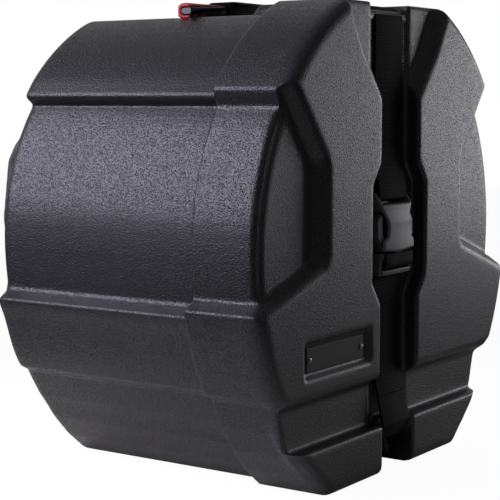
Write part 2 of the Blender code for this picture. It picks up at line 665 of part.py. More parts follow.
def stud_bores():
    """Returns the stepped bores that the handle's studs slide in."""
    floor = REAR_TOP - STUD_LENGTH
    cutters = []
    for x in (-STUD_SPREAD, STUD_SPREAD):
        cutters.append(upright_rod(STUD_RADIUS + RUNNING_GAP, (floor, REAR_TOP + OVERRUN),
                                   x, HANDLE_Y))
        top = floor + HANDLE_LIFT + STUD_HEAD_HEIGHT + RUNNING_GAP
        cutters.append(upright_rod(STUD_HEAD_RADIUS + RUNNING_GAP, (floor - OVERRUN, top),
                                   x, HANDLE_Y))
    return cutters


def handle_seats():
    """Returns the cutters for the hollows that the grip's ends drop into."""
    side = HANDLE_WIDTH / 2 + RUNNING_GAP
    start = HANDLE_STATION_SHARES[-1][0] * HANDLE_HALF - RUNNING_GAP
    end = HANDLE_HALF + OVERRUN
    return [box(x_range, (HANDLE_Y - side, HANDLE_Y + side),
                (REAR_TOP - HANDLE_END_DROP, REAR_TOP + OVERRUN))
            for x_range in ((-end, -start), (start, end))]


def clamp_holes():
    """Returns the cutters for the clamp's screws in the back."""
    z = CLAMP_BOTTOM + CLAMP_HEIGHT / 2
    return [flat_rod(SCREW_RADIUS + CLEARANCE, (BACK_FACE_Y - SCREW_GRIP, BACK_FACE_Y + OVERRUN),
                     x, z) for x in (-SCREW_OFFSET, SCREW_OFFSET)]


def make_foam(material):
    """The four pads and rings that line the case."""
    lid_pad = INNER_FACE_Y + CLEARANCE
    rear_pad = INNER_BACK_Y - CLEARANCE
    lid_radius = LID_CAVITY_RADIUS - CLEARANCE
    rear_radius = CAVITY_RADIUS - CLEARANCE
    notch_top = LIP_UNDERSIDE + ARCH_WALL + CLEARANCE
    front = [(x, max(z, notch_top)) for x, z in circle(lid_radius)]
    along_y([(lid_pad, front), (lid_pad + FOAM_PAD, front)], material, "front_foam_pad")
    along_y([(rear_pad - FOAM_PAD, circle(rear_radius)), (rear_pad, circle(rear_radius))],
            material, "rear_foam_pad")
    arch_back = FACE_Y + ARCH_DEPTH + ARCH_WALL
    foam_ring("front_foam_ring", lid_radius, max(lid_pad + FOAM_PAD, arch_back) + FOAM_GAP,
              SEAM_Y - RIM_REACH - FOAM_GAP, material)
    foam_ring("rear_foam_ring", rear_radius, SEAM_Y - RIM_REACH + FOAM_GAP,
              rear_pad - FOAM_PAD - FOAM_GAP, material)


def foam_ring(name, radius, front, back, material):
    """Makes one ring of wall lining between two depths."""
    ring = along_y([(front, circle(radius)), (back, circle(radius))], material, name)
    bore = circle(radius - FOAM_RING)
    cut(ring, along_y([(front - OVERRUN, bore), (back + OVERRUN, bore)]))


def make_buckle_socket(material):
    """The upper half of the buckle: a flat sleeve, open at both sides and below."""
    front = FACE_Y + BUCKLE_FRONT
    back = front + BUCKLE_THICKNESS - CLEARANCE
    height = BUCKLE_TOP - BUCKLE_JOINT
    half = [(x * BUCKLE_HALF, BUCKLE_JOINT + z * height) for x, z in SOCKET_SHARES]
    loop = half + mirrored(reversed(half[:-1]))
    bulge = BUCKLE_WALL / 2
    socket = along_y([(front, grown(loop, -bulge)), (front + bulge, loop), (back, loop)],
                     material, "buckle_socket")
    tunnel = box((-TUNNEL_HALF, TUNNEL_HALF), (front + BUCKLE_WALL, back - BUCKLE_WALL),
                 (BUCKLE_JOINT - OVERRUN, BUCKLE_JOINT + TUNNEL_HEIGHT))
    slot_half = STRAP_WIDTH / 2 + CLEARANCE
    bar_bottom = BUCKLE_TOP - BAR_HEIGHT
    slot = box((-slot_half, slot_half), (front - OVERRUN, back + OVERRUN),
               (bar_bottom - SLOT_HEIGHT, bar_bottom))
    bar_front = BUCKLE_Y - BAR_DEPTH / 2
    bar_back = BUCKLE_Y + BAR_DEPTH / 2
    before = box((-slot_half, slot_half), (front - OVERRUN, bar_front),
                 (bar_bottom - SLOT_HEIGHT / 2, BUCKLE_TOP + OVERRUN))
    behind = box((-slot_half, slot_half), (bar_back, back + OVERRUN),
                 (bar_bottom - SLOT_HEIGHT / 2, BUCKLE_TOP + OVERRUN))
    cut(socket, tunnel, slot, before, behind)


def make_buckle_plug(material):
    """The lower half of the buckle: a frame with two bars and a guiding tongue."""
    front = BUCKLE_Y - PLUG_DEPTH / 2
    back = BUCKLE_Y + PLUG_DEPTH / 2
    top = BUCKLE_JOINT - CLEARANCE
    plug = box((-PLUG_HALF, PLUG_HALF), (front, back), (PLUG_BOTTOM, top), material,
               "buckle_plug")
    half = PLUG_HALF - PLUG_RAIL
    window = box((-half, half), (front - OVERRUN, back + OVERRUN),
                 (PLUG_BOTTOM + PLUG_BAR, top - PLUG_BAR))
    behind_low = box((-half, half), (back - PLUG_DEPTH / 3, back + OVERRUN),
                     (PLUG_BOTTOM - OVERRUN, PLUG_BOTTOM + PLUG_BAR + OVERRUN))
    cut(plug, window, behind_low)
    depth = (BUCKLE_THICKNESS - 2 * BUCKLE_WALL) / 2 - RUNNING_GAP
    tongue = box((-TONGUE_HALF, TONGUE_HALF), (BUCKLE_Y - depth, BUCKLE_Y + depth),
                 (top - PLUG_BAR / 2, BUCKLE_JOINT + TUNNEL_HEIGHT - RUNNING_GAP))
    join(plug, tongue)


def make_prongs(material):
    """The two springy prongs of the plug, each turning at its root."""
    depth = (BUCKLE_THICKNESS - 2 * BUCKLE_WALL) / 2 - RUNNING_GAP
    loop = [(x * BUCKLE_HALF, BUCKLE_JOINT + z * TUNNEL_HEIGHT) for x, z in PRONG_SHARES]
    for name, face in (("prong_right", loop), ("prong_left", mirrored(loop))):
        prong = along_y([(BUCKLE_Y - depth, face), (BUCKLE_Y + depth, face)], material, name)
        root = Vector((sum(p[0] for p in (face[0], face[-1])) / 2, BUCKLE_Y, face[0][1]))
        prong.data.transform(Matrix.Translation(-root))
        prong.location = root


def parted(path, height):
    """Splits a path where it first falls to a height, with a gap between the two parts."""
    for i, (high, low) in enumerate(zip(path, path[1:])):
        if high.y >= height > low.y:
            at = high + (low - high) * (high.y - height) / (high.y - low.y)
            back = (low - high).normalized() * CLEARANCE / 2
            return path[:i + 1] + [at - back], [at + back] + path[i + 1:]
    return path, []


def lower_route():
    """Returns the middle line of the strap from the buckle's plug to the seam underneath."""
    held = BUCKLE_Y - PLUG_STRAP_REACH
    behind = BUCKLE_Y + PLUG_DEPTH / 2 - PLUG_DEPTH / 3 + CLEARANCE + STRAP_THICKNESS / 2
    top = BUCKLE_JOINT - PLUG_BAR - 2 * CLEARANCE
    low_bar = PLUG_BOTTOM + PLUG_BAR
    rise = (top - low_bar) / 2
    points = [(held, top), (held, top - rise / 2, rise / 4), (behind, low_bar, rise / 4),
              (behind, PLUG_BOTTOM, rise), (STRAP_Y, PLUG_BOTTOM - PLUG_BAR, rise)]
    return rounded_path(points + lip_points() + [(SEAM_Y - CLEARANCE, UNDER_STRAP_Z)])


def rear_route():
    """Returns the middle line of the strap under the rear shell, up its back and onto its top."""
    top = REAR_TOP + CLEARANCE + STRAP_THICKNESS / 2
    return rounded_path([(SEAM_Y + CLEARANCE, UNDER_STRAP_Z),
                         (BACK_STRAP_Y, UNDER_STRAP_Z, BACK_FOOT_CORNER),
                         (BACK_STRAP_Y, top, BACK_CORNER), (REAR_SPLIT_Y, top)])


def rear_channel_cutter():
    """Returns the cutter for the strap's channel under the rear shell and up its back."""
    route = rounded_path([(SEAM_Y - OVERRUN, UNDER_STRAP_Z),
                          (BACK_STRAP_Y, UNDER_STRAP_Z, BACK_FOOT_CORNER),
                          (BACK_STRAP_Y, REAR_TOP + OVERRUN)])
    floor = shifted(route, CLEARANCE + STRAP_THICKNESS / 2)
    outside = [(BACK_Y + OVERRUN, REAR_TOP + OVERRUN), (BACK_Y + OVERRUN, -OVERRUN),
               (SEAM_Y - OVERRUN, -OVERRUN)]
    return along_x([tuple(p) for p in floor] + outside, CHANNEL_HALF)


def top_routes():
    """Returns the middle lines of the strap from the seam and from the back to the handle."""
    over = HANDLE_TOP - HANDLE_SADDLE + 2 * CLEARANCE + WRAP_THICKNESS + STRAP_THICKNESS / 2
    low = REAR_TOP + CLEARANCE + STRAP_THICKNESS / 2
    front = [(SEAM_Y + CLEARANCE, CROWN_STRAP_Z), (LAND_BACK_Y, CROWN_STRAP_Z, RISE_RADIUS),
             (HANDLE_Y - OVER_REACH, over, RISE_RADIUS), (HANDLE_Y - CLEARANCE / 2, over)]
    back = [(HANDLE_Y + CLEARANCE / 2, over), (HANDLE_Y + OVER_REACH, over, OVER_RADIUS),
            (HANDLE_Y + OVER_REACH + TAIL_LENGTH, low, OVER_RADIUS),
            (REAR_SPLIT_Y - CLEARANCE, low)]
    return rounded_path(front), rounded_path(back)


def make_strap(material):
    """The webbing, parted at the buckle, the seam and the handle."""
    lower, under = parted(lower_route(), LOWER_SPLIT)
    front, back = top_routes()
    webbing("strap_front_upper", front_route(), material)
    webbing("strap_front_lower", lower, material)
    webbing("strap_front_under", under, material)
    webbing("strap_rear", rear_route(), material)
    webbing("strap_top_front", front, material)
    webbing("strap_top_back", back, material)


def section(x, half, low, high, corner):
    """Returns one cross-section of the handle, a rectangle with rounded corners."""
    corner = min(corner, NEARLY_SHARE * (high - low) / 2)
    ring = []
    for sy, sz in ((1, 1), (-1, 1), (-1, -1), (1, -1)):
        for i in range(HANDLE_STEPS + 1):
            angle = math.pi / 2 * i / HANDLE_STEPS
            if sy * sz < 0:
                angle = math.pi / 2 - angle
            y = half - corner * (1.0 - math.cos(angle))
            z = (high - low) / 2 - corner * (1.0 - math.sin(angle))
            ring.append((x, HANDLE_Y + sy * y, (high + low) / 2 + sz * z))
    return ring


def handle_rings():
    """Returns the handle's cross-sections from its middle to its +X end."""
    rings = []
    floor = REAR_TOP + CLEARANCE
    half = HANDLE_WIDTH / 2
    for along, saddle, arch in HANDLE_STATION_SHARES:
        rings.append(section(along * HANDLE_HALF, half, floor + arch * HANDLE_ARCH,
                             HANDLE_TOP - saddle * HANDLE_SADDLE, HANDLE_ROUND))
    low = floor - HANDLE_END_DROP
    for i in range(EDGE_STEPS + 1):
        angle = math.pi / 2 * i / EDGE_STEPS
        inset = HANDLE_END_ROUND * (1.0 - math.cos(angle)) * NEARLY_SHARE
        x = HANDLE_HALF - HANDLE_END_ROUND * (1.0 - math.sin(angle))
        corner = HANDLE_ROUND - (HANDLE_ROUND - CLEARANCE) * i / EDGE_STEPS
        rings.append(section(x, half - inset, low + inset, HANDLE_TOP - inset, corner))
    return rings


def rail_loop(extra):
    """Returns the outline of a side rail in (x, z), grown by a clearance."""
    radius = RAIL_HEIGHT / 2
    half = [(share * RAIL_HALF, RAIL_TOP + rise * RAIL_RISE) for share, rise in RAIL_SHARES]
    end = [(RAIL_HALF - radius + radius * math.sin(a), RAIL_TOP - radius + radius * math.cos(a))
           for a in (math.pi / 6 * i for i in range(7))]
    under = [(x, z - RAIL_HEIGHT) for x, z in reversed(half)]
    loop = half + end + under
    return grown(loop + mirrored(reversed(loop)), extra)


def core_rings(front, extra, reach):
    """Returns the front rail's cross-sections, flat in front and round behind."""
    half = [(share * HANDLE_HALF, RAIL_TOP + rise * RAIL_RISE) for share, rise in RAIL_SHARES]
    half.append((HANDLE_HALF + reach, RAIL_TOP))
    radius = RAIL_HEIGHT / 2
    rings = []
    for x, top in [(-x, top) for x, top in reversed(half)] + half:
        middle = top - radius
        high = radius + extra
        ring = [(x, front + RAIL_PROUD, middle - high), (x, front, middle - high + RAIL_PROUD),
                (x, front, middle + high - RAIL_PROUD), (x, front + RAIL_PROUD, middle + high)]
        for i in range(2 * HANDLE_STEPS + 1):
            angle = math.pi / 2 * (1.0 - i / HANDLE_STEPS)
            ring.append((x, HANDLE_Y + high * math.cos(angle), middle + high * math.sin(angle)))
        rings.append(ring)
    return rings


def make_handle(rubber, black, webbing_material, steel):
    """The grip with its two side rails, the wrap round its middle and the studs it rides on."""
    half = handle_rings()
    rings = [[(-x, y, z) for x, y, z in ring] for ring in reversed(half)] + half
    grip = loft("handle_grip", rings, rubber)
    outer = HANDLE_WIDTH / 2 + RAIL_PROUD
    cut(grip, loft("cutter", core_rings(HANDLE_Y - outer - OVERRUN, CLEARANCE, OVERRUN)))
    core = loft("handle_rail_front", core_rings(HANDLE_Y - outer, 0.0, 0.0), black)
    face = HANDLE_Y + outer
    floor = face - RAIL_DEPTH
    cut(grip, along_y([(floor - CLEARANCE, rail_loop(CLEARANCE)),
                       (face + OVERRUN, rail_loop(CLEARANCE))]))
    along_y([(floor, rail_loop(0.0)), (face - RAIL_PROUD, rail_loop(0.0)),
             (face, rail_loop(-RAIL_PROUD))], black, "handle_rail_rear")
    for x, name in ((-STUD_SPREAD, "handle_stud_left"), (STUD_SPREAD, "handle_stud_right")):
        top = REAR_TOP + STUD_GRIP
        for held in (grip, core):
            cut(held, upright_rod(STUD_RADIUS + CLEARANCE, (REAR_TOP - OVERRUN, top + CLEARANCE),
                                  x, HANDLE_Y))
        foot = REAR_TOP - STUD_LENGTH
        rings = [[(px, py, z) for px, py in circle(r, SMALL_SIDES, (x, HANDLE_Y))]
                 for r, z in ((STUD_HEAD_RADIUS, foot), (STUD_HEAD_RADIUS, foot + STUD_HEAD_HEIGHT),
                              (STUD_RADIUS, foot + STUD_HEAD_HEIGHT), (STUD_RADIUS, top))]
        loft(name, rings, steel)
    make_wrap(webbing_material, outer)


def make_wrap(material, outer):
    """The band of webbing sewn round the middle of the grip."""
    rail_top = RAIL_TOP + RAIL_RISE
    low = min(REAR_TOP + CLEARANCE + HANDLE_ARCH, rail_top - RAIL_HEIGHT) - CLEARANCE
    high = max(HANDLE_TOP - HANDLE_SADDLE, rail_top) + CLEARANCE
    sections = []
    for extra in (WRAP_THICKNESS, 0.0):
        ring = section(0.0, outer + CLEARANCE + extra, low - extra, high + extra,
                       RAIL_PROUD + extra)
        sections.append([(y, z) for _, y, z in ring])
    wrap = along_x(sections[0], WRAP_WIDTH / 2, material, "handle_wrap")
    cut(wrap, along_x(sections[1], WRAP_WIDTH / 2 + OVERRUN))


def make_clamp(material, steel):
    """The plate that screws the strap to the middle of the back."""
    seat = BACK_STRAP_Y - STRAP_THICKNESS / 2
    inside = BACK_STRAP_Y + STRAP_THICKNESS / 2 + CLEARANCE
    outside = inside + CLAMP_THICKNESS
    heights = (CLAMP_BOTTOM, CLAMP_BOTTOM + CLAMP_HEIGHT)
    clamp = box((-CLAMP_HALF, CLAMP_HALF), (seat, outside), heights, material, "strap_clamp")
    bridge = STRAP_WIDTH / 2 + RUNNING_GAP
    cut(clamp, box((-bridge, bridge), (seat - OVERRUN, inside),
                   (heights[0] - OVERRUN, heights[1] + OVERRUN)))
    middle = sum(heights) / 2
    for x, name in ((-SCREW_OFFSET, "clamp_screw_left"), (SCREW_OFFSET, "clamp_screw_right")):
        cut(clamp, flat_rod(SCREW_RADIUS + CLEARANCE, (seat - OVERRUN, outside + OVERRUN),
                            x, middle))
        under = outside + CLEARANCE
        thin = circle(SCREW_RADIUS, SMALL_SIDES, (x, middle))
        wide = circle(SCREW_HEAD_RADIUS, SMALL_SIDES, (x, middle))
        low = BACK_FACE_Y - SCREW_GRIP + CLEARANCE
        along_y([(low, thin), (under, thin), (under, wide),
                 (under + SCREW_HEAD_HEIGHT / 2, wide), (under + SCREW_HEAD_HEIGHT, thin)],
                steel, name)


def main():
    """Builds every piece of the case."""
    clear_scene()
    shell = new_material("moulded_polyethylene", (0.030, 0.029, 0.032), 0.45)
    webbing_black = new_material("nylon_webbing", (0.012, 0.012, 0.013), 0.75)
    acetal = new_material("buckle_acetal", (0.055, 0.054, 0.058), 0.35)
    foam = new_material("grey_foam", (0.060, 0.060, 0.065), 0.95)
    plate = new_material("plate_enamel", (0.006, 0.006, 0.007), 0.30)
    steel = new_material("zinc_steel", (0.45, 0.45, 0.46), 0.30, 1.0)
    rubber = new_material("red_rubber", (0.68, 0.045, 0.030), 0.40)
    gloss = new_material("black_gloss", (0.006, 0.006, 0.008), 0.12)
    make_front_shell(shell)
    make_rear_shell(shell)
    make_foam(foam)
    make_label_plate(plate)
    make_label_rivets(steel)
    make_buckle_socket(acetal)
    make_buckle_plug(acetal)
    make_prongs(acetal)
    make_strap(webbing_black)
    make_handle(rubber, gloss, webbing_black, steel)
    make_clamp(acetal, steel)


main()
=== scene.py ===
"""Looks of a two-part moulded drum case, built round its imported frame.

The lid faces -Y, +X is to the case's right seen from in front of the lid, and lengths are in
metres. Each sub-assembly is a class that shapes its pieces and dresses them in their finishes.
"""

import json
import logging
import math
from collections.abc import Callable
from dataclasses import dataclass
from enum import Enum

import bpy
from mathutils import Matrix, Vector


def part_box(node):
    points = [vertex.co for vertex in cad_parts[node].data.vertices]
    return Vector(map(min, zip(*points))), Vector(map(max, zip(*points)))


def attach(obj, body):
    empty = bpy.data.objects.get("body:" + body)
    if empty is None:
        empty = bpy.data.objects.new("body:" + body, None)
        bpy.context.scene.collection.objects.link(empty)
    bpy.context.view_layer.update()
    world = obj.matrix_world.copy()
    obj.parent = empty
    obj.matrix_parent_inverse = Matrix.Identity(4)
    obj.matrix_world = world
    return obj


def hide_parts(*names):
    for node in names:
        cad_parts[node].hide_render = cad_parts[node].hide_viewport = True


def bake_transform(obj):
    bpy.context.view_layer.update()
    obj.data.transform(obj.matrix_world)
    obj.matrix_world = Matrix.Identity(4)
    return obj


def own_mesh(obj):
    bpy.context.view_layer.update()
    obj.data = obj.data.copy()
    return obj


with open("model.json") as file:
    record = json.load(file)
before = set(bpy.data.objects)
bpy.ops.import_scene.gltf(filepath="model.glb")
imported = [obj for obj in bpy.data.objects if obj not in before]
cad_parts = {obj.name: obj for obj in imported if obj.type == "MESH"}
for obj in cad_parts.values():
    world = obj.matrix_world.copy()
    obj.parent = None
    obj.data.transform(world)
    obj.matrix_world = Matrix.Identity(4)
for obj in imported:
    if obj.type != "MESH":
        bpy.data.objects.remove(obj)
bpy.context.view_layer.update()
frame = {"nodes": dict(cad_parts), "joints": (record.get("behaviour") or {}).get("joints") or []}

LOG = logging.getLogger("drum_case")
MM = 0.001
Colour = tuple[float, float, float]
Line = tuple[tuple[float, float], ...]


class Slot(Enum):
    """Names of the record's material slots."""

    SHELL = "shell"
    WEBBING = "webbing"
    BUCKLE = "buckle"
    FOAM = "foam"
    PLATE = "plate"
    STEEL = "steel"
    RUBBER = "rubber"
    RAIL = "rail"


class Value:
    """A shader socket that carries a number and takes part in arithmetic."""

    def __init__(self, graph: "Graph", socket: bpy.types.NodeSocket) -> None:
        """Wraps a socket.

        Args:
            graph: The node graph that the socket belongs to.
            socket: The output socket that gives the number.
        """
        self.graph = graph
        self.socket = socket

    def _maths(self, operation: str, first: "Value | float", second: "Value | float") -> "Value":
        """Adds one Math node.

        Args:
            operation: The node's operation.
            first: Its first operand.
            second: Its second operand.

        Returns:
            The node's result.
        """
        return self.graph.add("ShaderNodeMath", {"operation": operation}, {0: first, 1: second})

    def __add__(self, other: "Value | float") -> "Value":
        """Returns the sum."""
        return self._maths("ADD", self, other)

    def __radd__(self, other: float) -> "Value":
        """Returns the sum with a number on the left."""
        return self._maths("ADD", other, self)

    def __sub__(self, other: "Value | float") -> "Value":
        """Returns the difference."""
        return self._maths("SUBTRACT", self, other)

    def __rsub__(self, other: float) -> "Value":
        """Returns the difference from a number on the left."""
        return self._maths("SUBTRACT", other, self)

    def __mul__(self, other: "Value | float") -> "Value":
        """Returns the product."""
        return self._maths("MULTIPLY", self, other)

    def __rmul__(self, other: float) -> "Value":
        """Returns the product with a number on the left."""
        return self._maths("MULTIPLY", other, self)

    def power(self, exponent: float) -> "Value":
        """Returns the value raised to an exponent."""
        return self._maths("POWER", self, exponent)

    def sine(self) -> "Value":
        """Returns the sine of the value in radians."""
        return self._maths("SINE", self, 0.0)

    def size(self) -> "Value":
        """Returns the value without its sign."""
        return self._maths("ABSOLUTE", self, 0.0)

    def over(self, limit: float) -> "Value":
        """Returns 1 where the value is over a limit, and 0 elsewhere."""
        return self._maths("GREATER_THAN", self, limit)


class Graph:
    """Builds one material's node graph around a Principled shader."""

    def __init__(self, name: str) -> None:
        """Makes the material.

        Args:
            name: The material's name.
        """
        self.material = bpy.data.materials.new(name)
        self.material.use_nodes = True
        self.tree = self.material.node_tree
        self.shader = self.tree.nodes["Principled BSDF"]

    def add(self, kind: str, settings: dict, sockets: dict, output: int | str = 0) -> Value:
        """Adds a node, sets it, and then fills its input sockets.

        Args:
            kind: The node's type.
            settings: Its own settings, by name.
            sockets: Values or links for its inputs, by index or name.
            output: The output that is returned.

        Returns:
            The chosen output.
        """
        node = self.tree.nodes.new(kind)
        for key, setting in settings.items():
            setattr(node, key, setting)
        for key, given in sockets.items():
            if isinstance(given, Value):
                self.tree.links.new(given.socket, node.inputs[key])
            else:
                node.inputs[key].default_value = given
        return Value(self, node.outputs[output])

    def place(self) -> Value:
        """Returns the Object coordinates."""
        return self.add("ShaderNodeTexCoord", {}, {}, "Object")

    def axes(self, vector: Value) -> tuple[Value, Value, Value]:
        """Splits a vector.

        Args:
            vector: The vector to split.

        Returns:
            Its X, Y and Z.
        """
        node = self.tree.nodes.new("ShaderNodeSeparateXYZ")
        self.tree.links.new(vector.socket, node.inputs[0])
        return tuple(Value(self, out) for out in node.outputs)

    def noise(self, scale: float, detail: float = 2.0, roughness: float = 0.5) -> Value:
        """Returns fractal noise of a scale in cycles per metre."""
        return self.add("ShaderNodeTexNoise", {},
                        {"Vector": self.place(), "Scale": scale, "Detail": detail,
                         "Roughness": roughness}, "Fac")

    def cells(self, scale: float) -> Value:
        """Returns the distance pattern of cells of a scale in cells per metre."""
        return self.add("ShaderNodeTexVoronoi", {"feature": "F1"},
                        {"Vector": self.place(), "Scale": scale}, "Distance")

    def ramp(self, value: Value, stops: list[tuple[float, Colour]]) -> Value:
        """Colours a value.

        Args:
            value: The value to colour.
            stops: Positions and linear colours.

        Returns:
            The colour.
        """
        node = self.tree.nodes.new("ShaderNodeValToRGB")
        elements = node.color_ramp.elements
        while len(elements) < len(stops):
            elements.new(1.0)
        for element, (position, colour) in zip(elements, stops):
            element.position = position
            element.color = (*colour, 1.0)
        self.tree.links.new(value.socket, node.inputs[0])
        return Value(self, node.outputs[0])

    def mask(self, value: Value, low: float, high: float) -> Value:
        """Returns 0 under a low value, 1 over a high one, and a ramp between them."""
        return self.add("ShaderNodeMapRange", {"clamp": True},
                        {"Value": value, "From Min": low, "From Max": high}, "Result")

    def set(self, **values: "Value | float | tuple") -> None:
        """Fills inputs of the shader.

        Args:
            values: Values or links, by the input's name in lower case with underscores.
        """
        for key, given in values.items():
            socket = self.shader.inputs[key.replace("_", " ").title().replace("Ior", "IOR")]
            if isinstance(given, Value):
                self.tree.links.new(given.socket, socket)
            else:
                socket.default_value = (*given, 1.0) if isinstance(given, tuple) else given

    def relief(self, height: Value, distance: float, strength: float = 1.0) -> None:
        """Bumps the surface.

        Args:
            height: The height pattern, about 1 from its lowest to its highest.
            distance: Its depth in metres.
            strength: How much of it shows.
        """
        bump = self.add("ShaderNodeBump", {}, {"Height": height, "Distance": distance,
                                               "Strength": strength}, "Normal")
        self.tree.links.new(bump.socket, self.shader.inputs["Normal"])


def curve(points: Line, at: float) -> float:
    """Reads a line of points.

    Args:
        points: Places and values, in rising order.
        at: Where the line is read.

    Returns:
        The value there, eased from point to point and level beyond both ends.
    """
    for (start, first), (end, second) in zip(points, points[1:]):
        if at < end:
            return first + (second - first) * rise(at, start, end)
    return points[-1][1]


def rise(at: float, start: float, end: float) -> float:
    """Returns 0 before a start, 1 after an end, and an eased step between them."""
    share = min(max((at - start) / (end - start), 0.0), 1.0)
    return share * share * (3.0 - 2.0 * share)


def hump(distance: float, reach: float) -> float:
    """Returns 1 at no distance, easing to 0 at a reach."""
    return max(1.0 - (distance / reach) ** 2, 0.0) ** 2


def travel(joint: str) -> float:
    """Returns how far a joint of the frame goes from rest."""
    return next(j for j in frame["joints"] if j["name"] == joint)["range_m"][1]


@dataclass(frozen=True)
class PebbledPlastic:
    """Charcoal moulded polyethylene with a fine pebble grain, its colour darkened in the pebble
    hollows as painted shade.
    """

    name: str = "pebbled_polyethylene"
    # Painted shade: the pebble hollows take this near-black colour and the crests the next one.
    painted_hollow_shade: Colour = (0.0010, 0.0010, 0.0013)
    crest: Colour = (0.0240, 0.0232, 0.0275)
    pebbles: float = 760.0
    grain: float = 950.0
    depth: float = 0.85 * MM
    skin_roughness: float = 0.27
    skin_level: float = 0.45
    polished: tuple[float, float] = (0.41, 0.51)
    front: tuple[float, float] = (-0.1405, -0.1340)
    front_share: float = 0.50
    front_coat: float = 0.60
    front_haze: float = 0.15

    def material(self) -> bpy.types.Material:
        """Returns the material, which is flatter and hazier on the lid's front."""
        g = Graph(self.name)
        pebble = g.cells(self.pebbles)
        fine = g.noise(self.grain, 1.0)
        cloud = g.noise(9.0, 3.0)
        scuff = g.noise(60.0, 4.0, 0.65)
        skin = pebble * 0.55 + fine * 0.45
        shade = skin * 0.86 + cloud * 0.08 + scuff * 0.06
        behind = g.mask(g.axes(g.place())[1], *self.front)
        rough = self.skin_roughness + self.front_haze - 0.05
        gloss = behind * (1.0 - self.front_coat) + self.front_coat
        share = behind * (1.0 - self.front_share) + self.front_share
        # The colour follows the pebble relief, darker in its hollows as painted shade, with random
        # cloud and scuff tone mixed in.
        g.set(base_color=g.ramp(shade, [(0.38, self.painted_hollow_shade), (0.54, self.crest)]),
              roughness=rough - self.front_haze * behind + 0.10 * scuff + 0.06 * fine,
              coat_weight=g.mask(skin, *self.polished) * gloss,
              coat_roughness=self.skin_roughness)
        g.relief((skin - self.skin_level) * share, self.depth)
        return g.material


@dataclass(frozen=True)
class RibbedNylon:
    """Black webbing with ribs across its length."""

    name: str = "ribbed_nylon"
    colour: Colour = (0.0018, 0.0018, 0.0019)
    crest: Colour = (0.0130, 0.0127, 0.0133)
    pitch: float = 2.15 * MM
    yarn: float = 0.75 * MM
    depth: float = 0.35 * MM

    def material(self) -> bpy.types.Material:
        """Returns the material."""
        g = Graph(self.name)
        x, y, z = g.axes(g.place())
        normal = g.add("ShaderNodeNewGeometry", {}, {}, "True Normal")
        upright = g.axes(normal)[2].size().over(0.7)
        along = z * (1.0 - upright) + y * upright
        turn = math.tau / self.pitch
        rib = (along * turn).sine() * 0.5 + 0.5
        yarn = (x * (math.tau / self.yarn) + (along * (turn / 2)).sine() * 1.5).sine() * 0.5 + 0.5
        fuzz = g.noise(900.0, 2.0)
        weave = rib * 0.7 + yarn * 0.2 + fuzz * 0.1
        g.set(base_color=g.ramp(weave, [(0.25, self.colour), (0.85, self.crest)]),
              roughness=0.60 + 0.15 * fuzz, specular_ior_level=0.12)
        g.relief(weave, self.depth)
        return g.material


@dataclass(frozen=True)
class SatinAcetal:
    """Dark grey injection-moulded acetal with a fine spark-eroded grain."""

    name: str = "satin_acetal"
    colour: Colour = (0.105, 0.103, 0.108)
    worn: Colour = (0.135, 0.132, 0.138)
    grain: float = 2600.0

    def material(self) -> bpy.types.Material:
        """Returns the material."""
        g = Graph(self.name)
        fine = g.noise(self.grain, 1.0)
        cloud = g.noise(45.0, 3.0)
        g.set(base_color=g.ramp(cloud, [(0.35, self.colour), (0.70, self.worn)]),
              roughness=0.34 + 0.10 * fine + 0.06 * cloud)
        g.relief(fine, 0.05 * MM, 0.6)
        return g.material


@dataclass(frozen=True)
class SoftRubber:
    """Red moulded rubber, slightly translucent, mottled between a deep and a bright red."""

    name: str = "red_rubber"
    deep: Colour = (0.74, 0.040, 0.022)
    bright: Colour = (0.92, 0.085, 0.048)

    def material(self) -> bpy.types.Material:
        """Returns the material."""
        g = Graph(self.name)
        cloud = g.noise(70.0, 3.0)
        fine = g.noise(1800.0, 1.0)
        g.set(base_color=g.ramp(cloud, [(0.30, self.deep), (0.70, self.bright)]),
              roughness=0.36 + 0.12 * fine, specular_ior_level=0.45)
        g.relief(fine * 0.5 + cloud * 0.5, 0.12 * MM, 0.5)
        return g.material


@dataclass(frozen=True)
class GlossBlack:
    """Polished black plastic of the handle's rails."""

    name: str = "gloss_black"
    colour: Colour = (0.0045, 0.0045, 0.0055)

    def material(self) -> bpy.types.Material:
        """Returns the material."""
        g = Graph(self.name)
        smear = g.noise(120.0, 4.0, 0.6)
        g.set(base_color=self.colour, roughness=0.10 + 0.08 * smear, coat_weight=0.3)
        g.relief(smear, 0.03 * MM, 0.4)
        return g.material


@dataclass(frozen=True)
class PorousFoam:
    """Grey closed-cell lining foam with open pores on its cut faces."""

    name: str = "lining_foam"
    pore: Colour = (0.020, 0.020, 0.022)
    body: Colour = (0.075, 0.075, 0.080)

    def material(self) -> bpy.types.Material:
        """Returns the material."""
        g = Graph(self.name)
        pores = g.cells(480.0)
        fine = g.noise(1200.0, 2.0)
        g.set(base_color=g.ramp(pores * 0.8 + fine * 0.2, [(0.10, self.pore), (0.45, self.body)]),
              roughness=0.92, sheen_weight=0.15)
        g.relief(pores, 0.6 * MM, 0.7)
        return g.material


@dataclass(frozen=True)
class BareEnamel:
    """Black enamel of the unprinted plate, with a faint orange peel."""

    name: str = "bare_enamel"
    colour: Colour = (0.011, 0.011, 0.0115)
    rubbed: Colour = (0.020, 0.020, 0.021)

    def material(self) -> bpy.types.Material:
        """Returns the material."""
        g = Graph(self.name)
        peel = g.noise(700.0, 2.0)
        rub = g.noise(130.0, 4.0, 0.7)
        g.set(base_color=g.ramp(rub, [(0.40, self.colour), (0.80, self.rubbed)]),
              roughness=0.42 + 0.16 * rub)
        g.relief(peel, 0.04 * MM, 0.5)
        return g.material


